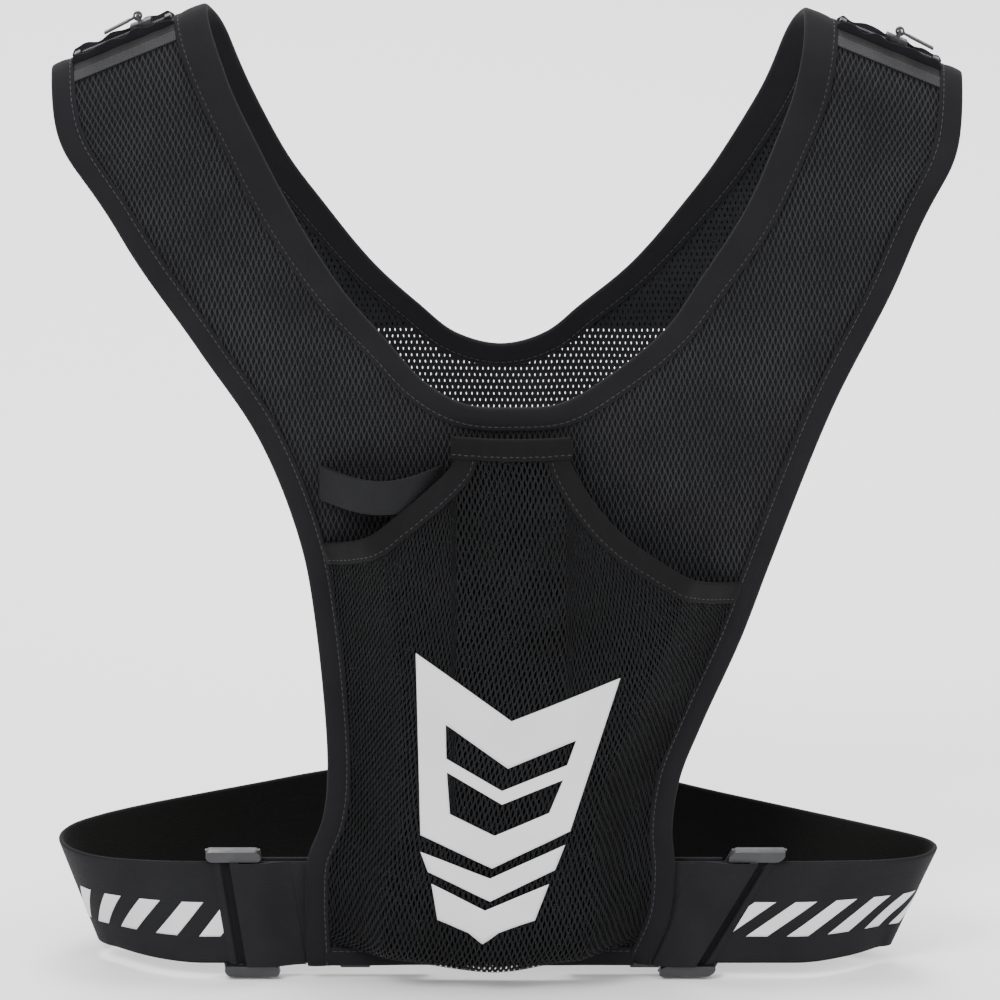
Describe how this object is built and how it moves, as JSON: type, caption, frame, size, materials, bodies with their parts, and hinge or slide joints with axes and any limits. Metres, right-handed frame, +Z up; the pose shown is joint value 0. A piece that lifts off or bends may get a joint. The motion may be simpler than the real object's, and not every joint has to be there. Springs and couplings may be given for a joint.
{
  "type": "reflective running vest",
  "caption": "Black mesh reflective vest with a bound neck and armholes, zipped shoulder pockets, back pocket with pole loop, reflective chevrons and an adjustable elastic waist belt.",
  "frame": {"origin": "midway between the shoulder straps at the top of the shoulder fold, where the wearer carries the vest", "axes": "+Z up, +X to the right when looking at the back panel, -Y out of the back panel"},
  "size_m": [0.3637, 0.1614, 0.3952],
  "materials": {
    "panel_mesh": "black polyester mesh with lengthwise lens-shaped holes",
    "pocket_mesh": "black polyester mesh, slightly open",
    "binding_tape": "matt black folded elastic binding",
    "belt_elastic": "matt black ribbed woven elastic",
    "reflective_print": "pale grey retroreflective heat transfer",
    "zip_tape": "dark grey grosgrain and zip tape with a nylon coil",
    "zip_metal": "bright nickel plate",
    "buckle_plastic": "dark grey moulded acetal, satin"
  },
  "bodies": {
    "garment": {"back_panel": "panel_mesh", "front_panel": "panel_mesh", "neck_binding": "binding_tape", "left_armhole_binding": "binding_tape", "right_armhole_binding": "binding_tape", "back_bottom_binding": "binding_tape", "front_bottom_binding": "binding_tape", "pocket_face": "pocket_mesh", "left_pocket_hem": "binding_tape", "right_pocket_hem": "binding_tape", "centre_pocket_hem": "binding_tape", "pole_loop": "belt_elastic", "chevron_shield": "reflective_print", "chevron_middle": "reflective_print", "chevron_tip": "reflective_print", "left_belt": "belt_elastic", "left_belt_ring": "buckle_plastic", "left_ring_tab": "belt_elastic", "right_belt": "belt_elastic", "right_belt_ring": "buckle_plastic", "right_ring_tab": "belt_elastic", "left_stripe_1": "reflective_print", "left_stripe_2": "reflective_print", "left_stripe_3": "reflective_print", "left_stripe_4": "reflective_print", "left_stripe_5": "reflective_print", "right_stripe_1": "reflective_print", "right_stripe_2": "reflective_print", "right_stripe_3": "reflective_print", "right_stripe_4": "reflective_print", "right_stripe_5": "reflective_print", "right_stripe_6": "reflective_print", "left_zip_tape_back": "zip_tape", "left_zip_tape_front": "zip_tape", "left_zip_coil": "zip_tape", "left_zip_stop_inner": "zip_metal", "left_zip_stop_outer": "zip_metal", "left_shoulder_hem": "zip_tape", "left_chest_pocket": "pocket_mesh", "right_zip_tape_back": "zip_tape", "right_zip_tape_front": "zip_tape", "right_zip_coil": "zip_tape", "right_zip_stop_inner": "zip_metal", "right_zip_stop_outer": "zip_metal", "right_shoulder_hem": "zip_tape", "right_chest_pocket": "pocket_mesh"},
    "left_slider": {"left_zip_slider": "zip_metal"},
    "left_pull": {"left_zip_pull": "zip_metal"},
    "left_buckle": {"left_adjuster": "buckle_plastic", "left_belt_return": "belt_elastic"},
    "right_slider": {"right_zip_slider": "zip_metal"},
    "right_pull": {"right_zip_pull": "zip_metal"},
    "right_buckle": {"right_adjuster": "buckle_plastic", "right_belt_return": "belt_elastic"}
  },
  "joints": [
    {"name": "left_zip_slide", "type": "slide", "parent": "garment", "child": "left_slider", "axis": [-0.9187, 0, -0.395], "range_m": [-0.0048, 0.0215]},
    {"name": "left_pull_swing", "type": "hinge", "parent": "left_slider", "child": "left_pull", "pos_m": [-0.14427, 0.00209, -0.00506], "axis": [0.0421, 0.9943, -0.098], "range_deg": [0, 150]},
    {"name": "left_belt_adjust", "type": "slide", "parent": "garment", "child": "left_buckle", "axis": [-1, 0, 0], "range_m": [-0.006, 0.008]},
    {"name": "right_zip_slide", "type": "slide", "parent": "garment", "child": "right_slider", "axis": [0.9187, 0, -0.395], "range_m": [-0.0162, 0.0112]},
    {"name": "right_pull_swing", "type": "hinge", "parent": "right_slider", "child": "right_pull", "pos_m": [0.15928, 0.00209, -0.01151], "axis": [0.0421, -0.9943, 0.098], "range_deg": [0, 150]},
    {"name": "right_belt_adjust", "type": "slide", "parent": "garment", "child": "right_buckle", "axis": [1, 0, 0], "range_m": [0, 0.014]}
  ]
}
